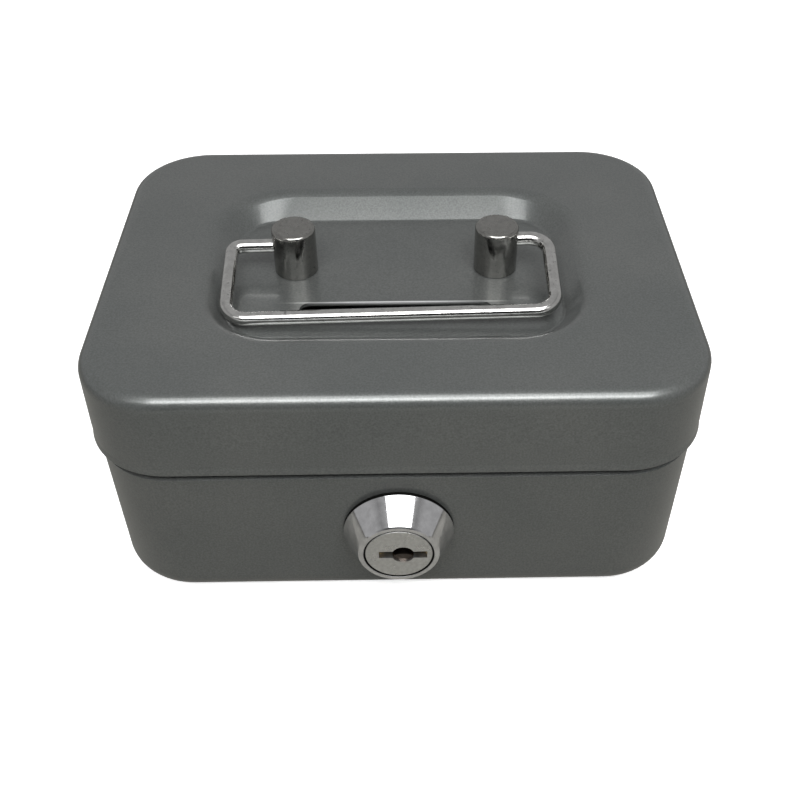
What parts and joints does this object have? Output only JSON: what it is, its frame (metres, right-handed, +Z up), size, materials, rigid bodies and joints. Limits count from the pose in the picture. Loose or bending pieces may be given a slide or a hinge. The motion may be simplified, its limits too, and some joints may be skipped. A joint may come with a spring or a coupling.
{
  "type": "cash box",
  "caption": "Small steel cash box with a hinged lid, a coin slot, a wire bail handle sunk in a well and a cam lock.",
  "frame": {"origin": "centre of the tub's underside, on the surface the box stands on", "axes": "+Z up, -Y towards the lock, +X along the box to the right seen from the lock"},
  "size_m": [0.1264, 0.1086, 0.0632],
  "materials": {
    "paint": "satin grey enamel",
    "chrome": "polished plating",
    "wire": "plated wire",
    "zinc": "bright zinc plate",
    "casting": "plated zinc casting",
    "plug": "satin plated",
    "brass": "stamped"
  },
  "bodies": {
    "case": {"hinge_pin_left": "paint", "hinge_pin_right": "paint", "lock_housing": "casting", "lock_nut": "zinc", "lock_washer": "zinc", "tub_hinge_leaf_left": "paint", "tub_hinge_leaf_right": "paint", "tub_hinge_rivets": "paint", "tub_shell": "paint"},
    "lid": {"handle_post_left": "chrome", "handle_post_right": "chrome", "lid_catch": "paint", "lid_hinge_leaf_left": "paint", "lid_hinge_leaf_right": "paint", "lid_hinge_rivets": "paint", "lid_shell": "paint", "post_screw_left": "zinc", "post_screw_right": "zinc", "post_washer_left": "zinc", "post_washer_right": "zinc"},
    "bail": {"bail_handle": "wire"},
    "lock_rotor": {"cam_screw": "zinc", "cam_washer": "zinc", "lock_cam": "zinc", "lock_key_guide": "plug", "lock_plug": "plug", "lock_wafer_1": "brass", "lock_wafer_2": "brass", "lock_wafer_3": "brass", "lock_wafer_4": "brass", "wafer_spring_1": "zinc", "wafer_spring_2": "zinc", "wafer_spring_3": "zinc", "wafer_spring_4": "zinc"}
  },
  "joints": [
    {"name": "lid_hinge", "type": "hinge", "parent": "case", "child": "lid", "pos_m": [0, 0.0499, 0.0386], "axis": [-1, 0, 0], "range_deg": [0, 105]},
    {"name": "bail_pivot", "type": "hinge", "parent": "lid", "child": "bail", "pos_m": [0, 0.00185, 0.05915], "axis": [-0.9998, 0, -0.0218], "range_deg": [0, 191]},
    {"name": "lock_turn", "type": "hinge", "parent": "case", "child": "lock_rotor", "pos_m": [0, -0.0353, 0.0202], "axis": [0, 1, 0], "range_deg": [0, 90]}
  ]
}
